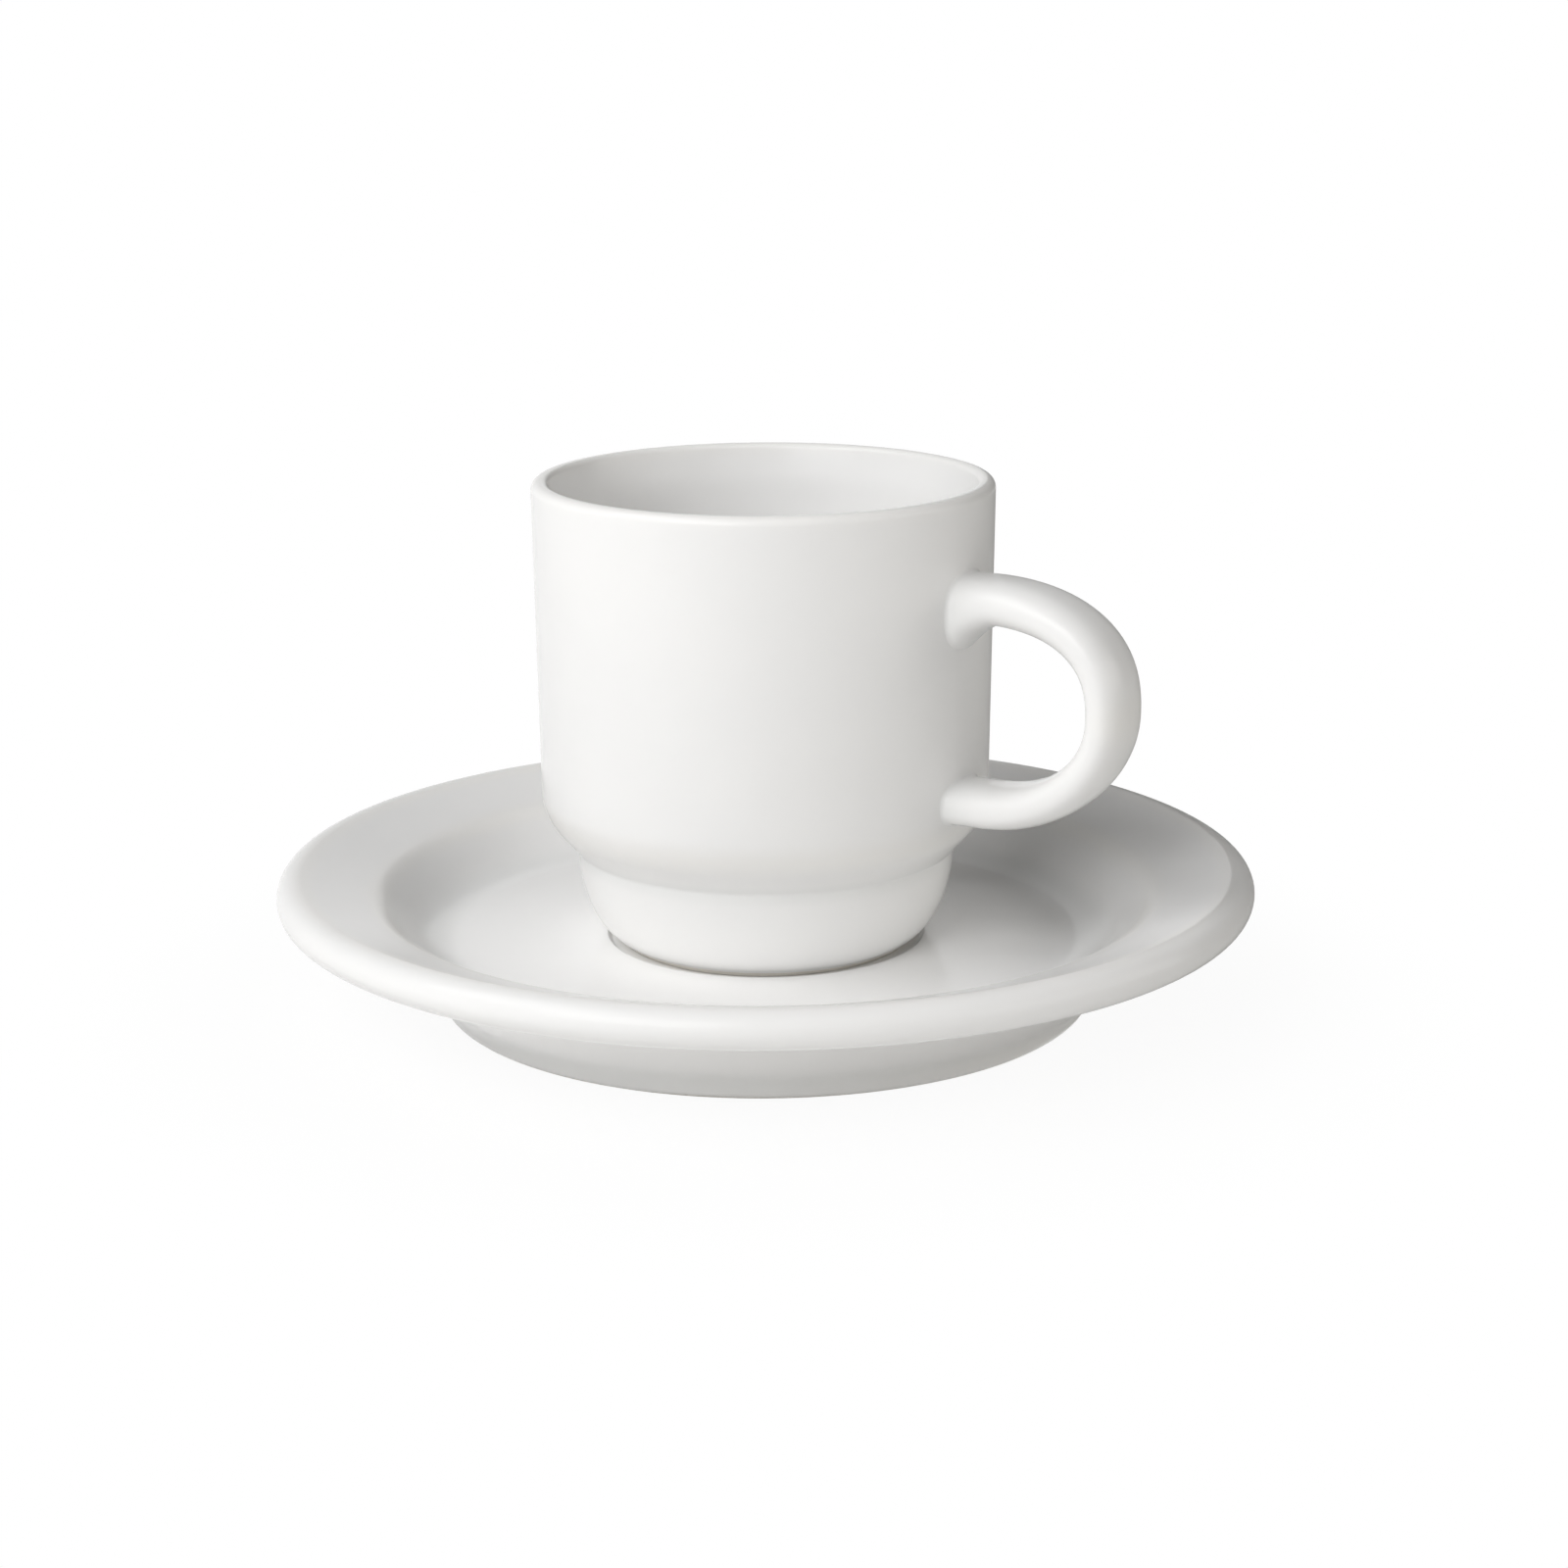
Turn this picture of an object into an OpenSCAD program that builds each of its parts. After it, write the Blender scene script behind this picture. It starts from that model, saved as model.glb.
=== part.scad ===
// Espresso cup with saucer: a thick stacking cup, its loop handle, and the saucer that seats it.
// Millimetres, +Z up. The origin is on the table under the middle of the saucer, and the
// handle points along +X.

/* [Cup wall] */
// Outer diameter of the cup at its lip
cup_d = 60; // [54:0.5:70]
// Height of the cup from its foot to its lip
cup_h = 61.5; // [56:0.5:75]
// Thickness of the wall, which the lip rounds over
wall_t = 3; // [2:0.1:4]
// How far the wall leans in from the lip to the shoulder, on each side
wall_lean = 0.6; // [0.2:0.1:1.5]

/* [Stacking base] */
// Height of the stacking step above the foot
step_z = 13.2; // [11:0.1:16]
// How far the step stands in from the shoulder
step_in = 4.6; // [3.5:0.1:6]
// Radius in the corner of the step
step_fillet = 0.5; // [0.2:0.1:0.9]
// How far the ledge above the step rises to the shoulder
shoulder_rise = 4.2; // [2:0.1:6]
// Radius of the round shoulder
shoulder_r = 8.5; // [4:0.5:11]
// How far the bowl of the base draws in below the step
base_in = 7.6; // [5:0.1:9]

/* [Cup foot and floor] */
// Width of the foot ring that the cup stands on
cup_foot_w = 3.2; // [2:0.1:5]
// Height of the bevel round the foot ring
cup_foot_bevel = 0.6; // [0.3:0.1:1]
// Depth of the hollow inside the foot ring
cup_foot_hollow = 2.2; // [1:0.1:3]
// Thickness of the floor over that hollow
cup_floor_t = 4.8; // [3:0.1:7]
// Radius of the round between the inside wall and the floor
bowl_r = 19; // [12:0.5:22]

/* [Handle] */
// From the lip down to the middle of the upper arm
handle_drop = 12.7; // [10:0.1:16]
// Between the middles of the upper and the lower arm
handle_span = 26.6; // [22:0.1:30]
// From the upper arm down to the handle's outermost point
crown_drop = 13.1; // [11:0.1:15]
// From the lip's outer face out to the middle of the handle there
handle_reach = 20.2; // [16:0.1:24]
// How far the upper arm runs straight past the lip's outer face
upper_run = 1.5; // [0.5:0.1:3]
// How far the lower arm runs straight past the lip's outer face
lower_run = 3.5; // [0.5:0.1:4]
// Thickness of the upper arm
upper_t = 6.1; // [5:0.1:7.5]
// Thickness at the outermost point
crown_t = 5.1; // [4.5:0.1:7]
// Thickness of the lower arm
lower_t = 5.7; // [4.5:0.1:7]
// Width of the upper arm
upper_w = 11; // [9:0.1:14]
// Width at the outermost point
crown_w = 10.6; // [9:0.1:14]
// Width of the lower arm
lower_w = 10.4; // [9:0.1:14]
// Radius of the slip fillet round both roots
root_fillet = 0.8; // [0.5:0.1:2]
// Radius of the deeper fillet under the upper root
under_fillet = 4.2; // [1.5:0.1:5]

/* [Saucer rim and well] */
// Outer diameter of the saucer
saucer_d = 129; // [118:0.5:145]
// Height of the saucer's edge above the table
saucer_h = 18.3; // [16:0.1:22]
// Thickness of the rolled edge
edge_t = 5.1; // [4:0.1:6]
// Radius of the hollow under the rim behind that edge
edge_hollow_r = 1; // [0.4:0.1:1.4]
// Width of the rim from the edge to the well
rim_w = 10.8; // [8:0.1:15]
// Thickness of the rim behind the edge
rim_t = 3.6; // [3:0.1:4]
// How far the rim falls towards the well
rim_drop = 3.4; // [2.6:0.1:4.5]
// Width of the well's sloping wall
well_w = 7; // [5:0.1:9]
// Depth of the well below the rim
well_depth = 6.2; // [5:0.1:7]
// Radius between the rim and the well's wall
well_edge_r = 5; // [2:0.1:7]
// Radius between the well's wall and its floor
well_cove_r = 8; // [5:0.1:10]

/* [Saucer seat and foot] */
// Depth of the seat for the cup's foot
seat_depth = 0.65; // [0.4:0.05:1]
// Play round the cup's base in its seat
seat_play = 1; // [0.5:0.1:4]
// Width of the slope up from the seat
seat_slope = 0.6; // [0.4:0.1:1.5]
// Thickness of the saucer under the well and its floor
saucer_t = 4.2; // [3.5:0.1:5]
// How far the foot stands in from the corner of the well's floor
foot_in = 1.2; // [0.5:0.1:3]
// Width of the foot ring that the saucer stands on
foot_w = 4; // [3:0.1:5.5]
// How far the foot's outer wall leans out over its height
foot_lean = 1.6; // [1:0.1:2.5]
// Height of that wall
foot_h = 4.5; // [3.5:0.1:5]
// Radius of the foot's outer edge
foot_edge_r = 1.4; // [0.6:0.1:1.6]
// Radius where the underside turns into the foot
foot_cove_r = 5; // [2:0.5:7]

/* [Hidden] */
// Gap under the cup's foot, and at the luted roots of the handle
seat_gap = 0.05;
root_gap = 0.02;

// Steps along each arc of an outline, and facets round a turned piece
arc_steps = 14;
turn_facets = 128;

// How far the saucer's rolled edge curls in under its rim, in degrees
edge_curl = 50;

// Handle: sides of its section, rings along each straight arm, rows on each end face, rings along each bend
sides = 32;
root_rings = 6;
face_rows = 12;
bend_rings = 20;
// Powers that square off the section, the upper bend and the lower one; 1 leaves an ellipse
section_share = 0.8;
upper_bend_share = 0.81;
lower_bend_share = 1;
// Length over which the arm's section straightens out of the cup's curve
settle = 7;

// Unit vector along v
function unit(v) = v / norm(v);

// Arc of radius r about the point c, from angle a0 to a1
function arc(c, r, a0, a1) =
    [for (i = [0:arc_steps]) let (a = a0 + (a1 - a0) * i / arc_steps) c + r * [cos(a), sin(a)]];

// Length that a round of radius r takes from each side of the corner b
function round_run(a, b, c, r) = r / tan(acos(unit(a - b) * unit(c - b)) / 2);

// Largest radius whose round takes no more than the given run from the corner b
function round_limit(a, b, c, run) = run * tan(acos(unit(a - b) * unit(c - b)) / 2);

// Round of radius r at the corner b, between the straight lines to a and to c
function rounded(a, b, c, r) =
    let (u = unit(a - b), w = unit(c - b), half = acos(u * w) / 2,
         centre = b + unit(u + w) * r / sin(half),
         from = b + u * r / tan(half) - centre,
         to = b + w * r / tan(half) - centre,
         start = atan2(from.y, from.x),
         turn = atan2(cross(from, to), from * to))
    arc(centre, r, start, start + turn);

// Where the line through p at angle a meets the line through q at angle b
function meet(p, a, q, b) =
    let (u = [cos(a), sin(a)], w = [cos(b), sin(b)])
    p + u * cross(q - p, w) / cross(u, w);

// Cup, measured up from its own foot
cup_r = cup_d / 2;
lip_r = wall_t / 2;
shoulder = [cup_r - wall_lean, step_z + shoulder_rise];
step = [shoulder.x - step_in, step_z];
lip_foot = [cup_r, cup_h - lip_r];
base_r = step.x - base_in;
below_step = [step.x, 0];

// Outer radius of the bowl-shaped base at height z: a quarter ellipse under the step
function base_at(z) = base_r + base_in * sqrt(1 - pow((step_z - z) / step_z, 2));

// Outer radius of the wall at height z above the foot
function wall_at(z) = shoulder.x + wall_lean * (z - shoulder.y) / (lip_foot.y - shoulder.y);

cup_foot_r = base_at(cup_foot_bevel) - cup_foot_bevel;
cup_floor_z = cup_foot_hollow + cup_floor_t;
ledge_run = norm(shoulder - step) - round_run(below_step, step, shoulder, step_fillet);
shoulder_round = min(shoulder_r, round_limit(step, shoulder, lip_foot, ledge_run));
step_low = step_z - round_run(below_step, step, shoulder, step_fillet);

// Middle of the shoulder's round, and where the round runs out into the wall
to_step = unit(step - shoulder);
to_lip = unit(lip_foot - shoulder);
shoulder_c = shoulder + unit(to_step + to_lip) * shoulder_round / sin(acos(to_step * to_lip) / 2);
round_top = shoulder + to_lip * round_run(step, shoulder, lip_foot, shoulder_round);

// Outer radius of the cup at height z, wall and round shoulder
function skin_at(z) =
    z >= round_top.y ? wall_at(z)
    : shoulder_c.x + sqrt(pow(shoulder_round, 2) - pow(z - shoulder_c.y, 2));
floor_corner = [wall_at(cup_floor_z) - wall_t, cup_floor_z];
hollow_corner = [cup_foot_r - cup_foot_w, cup_foot_hollow];

// Angles on the base's quarter ellipse at the foot bevel and at the step's fillet
base_low = asin(1 - cup_foot_bevel / step_z);
base_high = asin(1 - step_low / step_z);
base_curve = [for (i = [0:arc_steps])
    let (a = base_low + (base_high - base_low) * i / arc_steps)
    [base_r + base_in * cos(a), step_z * (1 - sin(a))]];

cup_outline = concat(
    [[0, cup_foot_hollow]],
    rounded([0, cup_foot_hollow], hollow_corner, [hollow_corner.x, 0], cup_foot_bevel),
    [[hollow_corner.x, 0], [cup_foot_r, 0]],
    base_curve,
    rounded(below_step, step, shoulder, step_fillet),
    rounded(step, shoulder, lip_foot, shoulder_round),
    arc([cup_r - lip_r, lip_foot.y], lip_r, 0, 180),
    rounded([cup_r - wall_t, lip_foot.y], floor_corner, [0, cup_floor_z], bowl_r),
    [[0, cup_floor_z]]);

// Saucer, measured up from the table
saucer_r = saucer_d / 2;
edge_r = edge_t / 2;
edge_c = [saucer_r - edge_r, saucer_h - edge_r];
well_edge = [edge_c.x - rim_w, saucer_h - rim_drop];
well_corner = well_edge - [well_w, well_depth];
floor_z = well_corner.y;
seat_z = floor_z - seat_depth;
cup_z = seat_z + seat_gap;
seat_r = base_at(seat_depth) + seat_play;

// Slopes of the rim, which is tangent to the rolled edge, and of the well's wall
rim_run = edge_c - well_edge;
rim_slope = atan2(rim_run.y, rim_run.x) + asin(edge_r / norm(rim_run));
well_slope = atan2(well_depth, well_w);

// The rolled edge curls in under the rim, and the underside follows the rim and the well to the foot
curl_end = rim_slope - 90 - edge_curl;
under_edge = edge_c + edge_r * [cos(curl_end), sin(curl_end)];
under_rim = edge_c + (edge_r - rim_t) * [-sin(rim_slope), cos(rim_slope)];
edge_hollow = meet(under_edge, curl_end - 90, under_rim, rim_slope);
under_well = well_corner + saucer_t * [sin(well_slope), -cos(well_slope)];
foot_r = well_corner.x - foot_in;
foot_top = [foot_r + foot_lean, foot_h];
rim_root = meet(under_rim, rim_slope, under_well, well_slope);
foot_root = meet([foot_r, 0], atan2(foot_h, foot_lean), under_well, well_slope);
ceiling_z = floor_z - saucer_t;
ceiling_corner = [foot_r - foot_w, ceiling_z];
root_run = norm(rim_root - foot_root) / 2;
foot_cove = min(foot_cove_r,
    round_limit(rim_root, foot_root, [foot_r, 0], norm(foot_root - [foot_r, 0]) - foot_edge_r),
    round_limit(rim_root, foot_root, [foot_r, 0], root_run));
rim_cove = min(foot_cove_r, round_limit(edge_hollow, rim_root, foot_root, root_run));

saucer_outline = concat(
    [[0, seat_z], [seat_r, seat_z], [seat_r + seat_slope, floor_z]],
    rounded([seat_r + seat_slope, floor_z], well_corner, well_edge, well_cove_r),
    rounded(well_corner, well_edge, well_edge + rim_w * [cos(rim_slope), sin(rim_slope)], well_edge_r),
    arc(edge_c, edge_r, 90 + rim_slope, curl_end),
    rounded(under_edge, edge_hollow, rim_root, edge_hollow_r),
    rounded(edge_hollow, rim_root, foot_root, rim_cove),
    rounded(rim_root, foot_root, [foot_r, 0], foot_cove),
    rounded(foot_root, [foot_r, 0], [0, 0], foot_edge_r),
    [[ceiling_corner.x, 0]],
    rounded([ceiling_corner.x, 0], ceiling_corner, [0, ceiling_z], foot_edge_r),
    [[0, ceiling_z]]);

// Handle, in the plane of X and Z and measured up from the cup's foot
upper_z = cup_h - handle_drop;
lower_z = upper_z - handle_span;
crown = [cup_r + handle_reach, upper_z - crown_drop];
upper_turn = [cup_r + upper_run, upper_z];
lower_turn = [cup_r + lower_run, lower_z];
upper_root = [skin_at(upper_z) + root_gap, upper_z];
lower_root = [skin_at(lower_z) + root_gap, lower_z];

// Straight arm from a root, with its rings closest at the wall
function arm(root, turn) =
    [for (i = [0:root_rings - 1]) root + (turn - root) * pow(i / root_rings, 2)];

// Quarter of a squared ellipse, from the end of an arm round to the crown
function bend(turn, share) =
    [for (i = [0:bend_rings]) let (a = 90 * i / bend_rings)
        [turn.x + (crown.x - turn.x) * pow(sin(a), share),
         crown.y + (turn.y - crown.y) * pow(cos(a), share)]];

function reversed(list) = [for (i = [len(list) - 1:-1:0]) list[i]];

upper_half = concat(arm(upper_root, upper_turn), bend(upper_turn, upper_bend_share));
lower_half = concat(arm(lower_root, lower_turn), bend(lower_turn, lower_bend_share));
crown_ring = len(upper_half) - 1;
path = concat(upper_half, [for (i = [1:len(lower_half) - 1]) reversed(lower_half)[i]]);
last_ring = len(path) - 1;

// Direction along the path, and outwards from the loop
function along(i) =
    i == 0 ? [1, 0]
    : i == last_ring ? [-1, 0]
    : unit(path[i + 1] - path[i - 1]);
function outwards(i) = [-along(i).y, along(i).x];

// Share of the way round to the crown, 0 at either root and 1 at the crown
function crown_share(i) =
    i <= crown_ring ? i / crown_ring : (last_ring - i) / (last_ring - crown_ring);

// Size that runs from the root's value to the crown's, easing at both ends
function between(i, upper, middle, lower) =
    let (share = (1 - cos(180 * crown_share(i))) / 2, root = i <= crown_ring ? upper : lower)
    root + (middle - root) * share;

// Squares off one coordinate of an ellipse, keeping its sign
function squared(v) = sign(v) * pow(abs(v), section_share);

// How far a fillet of radius r stands out at the distance d from the wall
function fillet(d, r) = d >= r ? 0 : r - sqrt(r * r - (r - d) * (r - d));

// How far a root's end face stands from the axis, clear of the cup's skin by the root's gap
function face_x(y, z) = sqrt(pow(skin_at(z) + root_gap, 2) - y * y);

// Corner of ring i at the angle a round its section, 0 being outwards from the loop
function corner(i, a) =
    let (root = i <= crown_ring ? upper_root : lower_root,
         gap = path[i].x - root.x,
         inner_r = i <= crown_ring ? under_fillet : root_fillet,
         thick = between(i, upper_t, crown_t, lower_t) / 2
             + fillet(gap, cos(a) > 0 ? root_fillet : inner_r),
         y = squared(sin(a)) * (between(i, upper_w, crown_w, lower_w) / 2 + fillet(gap, root_fillet)),
         middle = path[i] + outwards(i) * squared(cos(a)) * thick,
         wall = face_x(y, middle.y),
         bent = (wall - root.x) * pow(max(0, 1 - gap / settle), 2))
    [middle.x + bent, y, middle.y];

ring_points = [for (i = [0:last_ring]) for (k = [0:sides - 1]) corner(i, 360 * k / sides)];

// Points of an end face in upright columns, between its outer and its inner edge
quarter = sides / 4;
function face_points(i) =
    [for (k = [1 - quarter:quarter - 1]) for (j = [1:face_rows - 1])
        let (outer = corner(i, 360 * k / sides),
             inner = corner(i, 180 - 360 * k / sides),
             z = outer.z + (inner.z - outer.z) * j / face_rows)
        [face_x(outer.y, z), outer.y, z]];

handle_points = concat(ring_points, face_points(0), face_points(last_ring));

// Index of a point on a ring, counted past either end
function at(i, k) = i * sides + (k + sides) % sides;

// Index of a point on an end face, in column k and row j
function on_face(i, k, j) =
    abs(k) == quarter || j == 0 ? at(i, k)
    : j == face_rows ? at(i, sides / 2 - k)
    : len(ring_points) + ((i == 0 ? k : k + sides / 2 - 1) + quarter - 1) * (face_rows - 1) + j - 1;

skin = [for (i = [0:last_ring - 1]) for (k = [0:sides - 1])
    each [[at(i, k), at(i + 1, k), at(i + 1, k + 1)],
          [at(i, k), at(i + 1, k + 1), at(i, k + 1)]]];

// End face of a ring, in columns and rows that follow the curve of the cup's skin
function end_face(i) = [for (k = [-quarter:quarter - 1]) for (j = [0:face_rows - 1])
    each concat(
        k + 1 < quarter ? [[on_face(i, k, j), on_face(i, k + 1, j), on_face(i, k + 1, j + 1)]] : [],
        k > -quarter ? [[on_face(i, k, j), on_face(i, k + 1, j + 1), on_face(i, k, j + 1)]] : [])];

function flipped(faces) = [for (f = faces) [f[2], f[1], f[0]]];

// Solid turned about the Z axis from an outline of radius and height
module turned(outline) {
    rotate_extrude($fn = turn_facets)
        polygon(outline);
}

module saucer() {
    color("whitesmoke")
        turned(saucer_outline);
}

module cup_body() {
    color("white")
        translate([0, 0, cup_z])
            turned(cup_outline);
}

module cup_handle() {
    color("ivory")
        translate([0, 0, cup_z])
            polyhedron(handle_points, concat(skin, end_face(0), flipped(end_face(last_ring))));
}

saucer();
cup_body();
cup_handle();
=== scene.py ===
"""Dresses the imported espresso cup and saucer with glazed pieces, on a plain stage."""

import math

import bmesh
import bpy
from bpy.props import FloatProperty, FloatVectorProperty, IntProperty, PointerProperty
from bpy.types import Operator, Panel, PropertyGroup
from mathutils import Matrix, Vector


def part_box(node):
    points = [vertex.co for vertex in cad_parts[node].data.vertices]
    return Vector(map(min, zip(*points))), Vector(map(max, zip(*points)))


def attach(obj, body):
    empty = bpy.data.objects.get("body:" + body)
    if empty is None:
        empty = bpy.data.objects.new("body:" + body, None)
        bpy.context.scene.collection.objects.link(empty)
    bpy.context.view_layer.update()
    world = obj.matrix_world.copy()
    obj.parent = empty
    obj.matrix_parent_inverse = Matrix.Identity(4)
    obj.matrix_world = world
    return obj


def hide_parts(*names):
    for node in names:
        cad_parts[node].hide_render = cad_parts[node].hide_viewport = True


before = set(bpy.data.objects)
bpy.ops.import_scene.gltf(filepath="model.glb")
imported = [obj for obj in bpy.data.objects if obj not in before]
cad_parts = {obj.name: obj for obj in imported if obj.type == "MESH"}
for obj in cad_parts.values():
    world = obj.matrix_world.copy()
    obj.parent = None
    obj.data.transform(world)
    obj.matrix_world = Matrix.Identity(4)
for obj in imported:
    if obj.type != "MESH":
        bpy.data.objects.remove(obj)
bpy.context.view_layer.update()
SAUCER_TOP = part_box("saucer")[1]
CUP_FOOT, CUP_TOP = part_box("cup_body")

bl_info = {
    "name": "Espresso cup with saucer",
    "version": (1, 0, 0),
    "blender": (4, 5, 0),
    "location": "3D View > Sidebar > Espresso cup",
    "description": "Models a glazed stacking cup, its loop handle and its saucer",
    "category": "Object",
}

MM = 0.001
# Points closer than this are one point
TOUCH = 2e-6
# Edges that turn by less than this are shaded smooth
SMOOTH_BELOW = math.radians(60)
# Turn of an outline that takes one step of a round
ARC_STEP = math.radians(5.625)
FEWEST_ARC_STEPS = 4
# Bevel profile of a circular round
ROUND = 0.5
# Longest edge left in an outline before it is spun
LONGEST_EDGE = 2.5 * MM
# Steps of a full turn on the wheel
WHEEL_STEPS = 192
# Rounding of the small edges that the glaze softens
SOFT_EDGE = 0.35 * MM
# Steps of the curve from the cup's foot up to its stacking step
BASE_STEPS = 18
# Share of the lip's inner part that its inner round takes
LIP_INNER = 0.9
# Power of the flare under the handle's upper root, higher for a hollower one
FLARE_POWER = 1.6
# Noises of the glaze and of the dry clay: cells to the metre, and detail
CLOUDS, WAVES, PEEL, GRAIN = (45.0, 3.0), (75.0, 1.0), (430.0, 2.0), (5200.0, 3.0)
# Levels of noise between which a cloud or a dark grain comes in
CLOUD_LEVELS, GRAIN_LEVELS = (0.35, 0.7), (0.2, 0.8)
# How far noise varies the pools of pooled glaze and painted shade, the thin edges and the
# roughness either way
SHADE_POOLS_VARY, EDGES_VARY, GLOSS_VARIES = 0.3, 0.4, 0.2
# How far the lower line of the glaze wanders, and the height over which it ends
LINE_WANDER, LINE_BAND = 0.5 * MM, 0.12 * MM
# Share of the clay's colour that its dark grains keep
DARK_GRAIN = 0.93
# Steps round the floor's edge
FLOOR_STEPS = 96
# Share of the shadow's reach within which the floor's shading is at its fullest
SHADOW_CORE = 1 / 3
CARD_ROUGHNESS = 0.9
# Sensor width in millimetres, and the nearest distance that the camera sees
SENSOR, NEAREST = 36, 0.01


def length(name, default, description):
    """A length in metres that a user may change."""
    return FloatProperty(
        name=name, description=description, default=default, min=0.0, precision=5,
        unit="LENGTH", subtype="DISTANCE",
    )


def angle(name, degrees, description):
    """An angle that a user may change, given in degrees."""
    return FloatProperty(
        name=name, description=description, default=math.radians(degrees),
        unit="ROTATION", subtype="ANGLE",
    )


def colour(name, default, description):
    """A colour that a user may change."""
    return FloatVectorProperty(
        name=name, description=description, default=default, size=3, min=0.0, max=1.0,
        subtype="COLOR",
    )


def share(name, default, description):
    """A number from 0 to 1 that a user may change."""
    return FloatProperty(
        name=name, description=description, default=default, min=0.0, max=1.0,
        subtype="FACTOR",
    )


def power(name, default, description):
    """A light's power in watts that a user may change."""
    return FloatProperty(
        name=name, description=description, default=default, min=0.0, unit="POWER")


class SaucerSizes(PropertyGroup):
    """Sizes of the saucer, the same as its solid's."""

    diameter: length("Diameter", 2 * SAUCER_TOP.x, "Outer diameter over the rolled edge")
    height: length("Height", SAUCER_TOP.z, "Height of the edge above the table")
    edge: length("Edge", 5.1 * MM, "Thickness of the rolled edge")
    edge_curl: angle("Edge curl", 50, "How far that edge curls in under the rim")
    edge_hollow: length("Edge hollow", 1 * MM, "Radius of the hollow behind the curl")
    rim_width: length("Rim width", 10.8 * MM, "Width of the rim from the edge to the well")
    rim_thick: length("Rim thickness", 3.6 * MM, "Thickness of the rim behind the edge")
    rim_drop: length("Rim drop", 3.4 * MM, "How far the rim falls towards the well")
    well_width: length("Well width", 7 * MM, "Width of the well's sloping wall")
    well_depth: length("Well depth", 6.2 * MM, "Depth of the well below the rim")
    well_edge: length("Well edge", 5 * MM, "Radius between the rim and the well's wall")
    well_cove: length("Well cove", 8 * MM, "Radius between the well's wall and its floor")
    seat_radius: length("Seat radius", 20.556 * MM, "Radius of the seat for the cup's foot")
    seat_depth: length("Seat depth", 0.65 * MM, "Depth of that seat")
    seat_slope: length("Seat slope", 0.6 * MM, "Width of the slope up from the seat")
    thickness: length("Thickness", 4.2 * MM, "Thickness under the well and its floor")
    foot_in: length("Foot setback", 1.2 * MM, "How far the foot stands in from the well's corner")
    foot_width: length("Foot width", 4 * MM, "Width of the foot ring")
    foot_lean: length("Foot lean", 1.6 * MM, "How far the foot's outer wall leans out")
    foot_height: length("Foot height", 4.5 * MM, "Height of that wall")
    foot_edge: length("Foot edge", 1.4 * MM, "Radius of the foot's outer edge")
    foot_cove: length("Foot cove", 5 * MM, "Radius where the underside turns into the foot")


class CupSizes(PropertyGroup):
    """Sizes of the cup's body, close to its solid's, with a lower step and a finer lip."""

    diameter: length("Lip diameter", 2 * CUP_TOP.x, "Outer diameter at the lip")
    height: length("Height", CUP_TOP.z - CUP_FOOT.z, "Height from the foot to the lip")
    wall: length("Wall", 3 * MM, "Thickness of the wall")
    lip_width: length("Lip width", 2.1 * MM, "Thickness of the wall at the lip")
    lip_round: length("Lip round", 1.15 * MM, "Radius of the lip's outer edge")
    lip_flare: length("Lip flare", 5 * MM, "How far below the lip the wall is at its thickest")
    lip_ease: length("Lip ease", 14 * MM, "Radius where the flare runs into the inside wall")
    lean: length("Lean", 0.6 * MM, "How far the wall leans in from the lip to the shoulder")
    step_height: length("Step height", 12.6 * MM, "Height of the stacking step above the foot")
    step_in: length("Step depth", 4.6 * MM, "How far the step stands in from the shoulder")
    step_fillet: length("Step fillet", 0.7 * MM, "Radius in the corner of the step")
    shoulder_rise: length("Shoulder rise", 5 * MM, "How far the ledge rises to the shoulder")
    shoulder: length("Shoulder", 7 * MM, "Radius of the round shoulder")
    base_in: length("Base draw", 7.6 * MM, "How far the base draws in below the step")
    foot_width: length("Foot width", 3.2 * MM, "Width of the foot ring")
    foot_bevel: length("Foot bevel", 0.6 * MM, "Height of the bevel round the foot ring")
    foot_hollow: length("Foot hollow", 2.2 * MM, "Depth of the hollow inside the foot ring")
    floor: length("Floor", 4.8 * MM, "Thickness of the floor over that hollow")
    bowl: length("Bowl", 19 * MM, "Radius between the inside wall and the floor")


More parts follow.
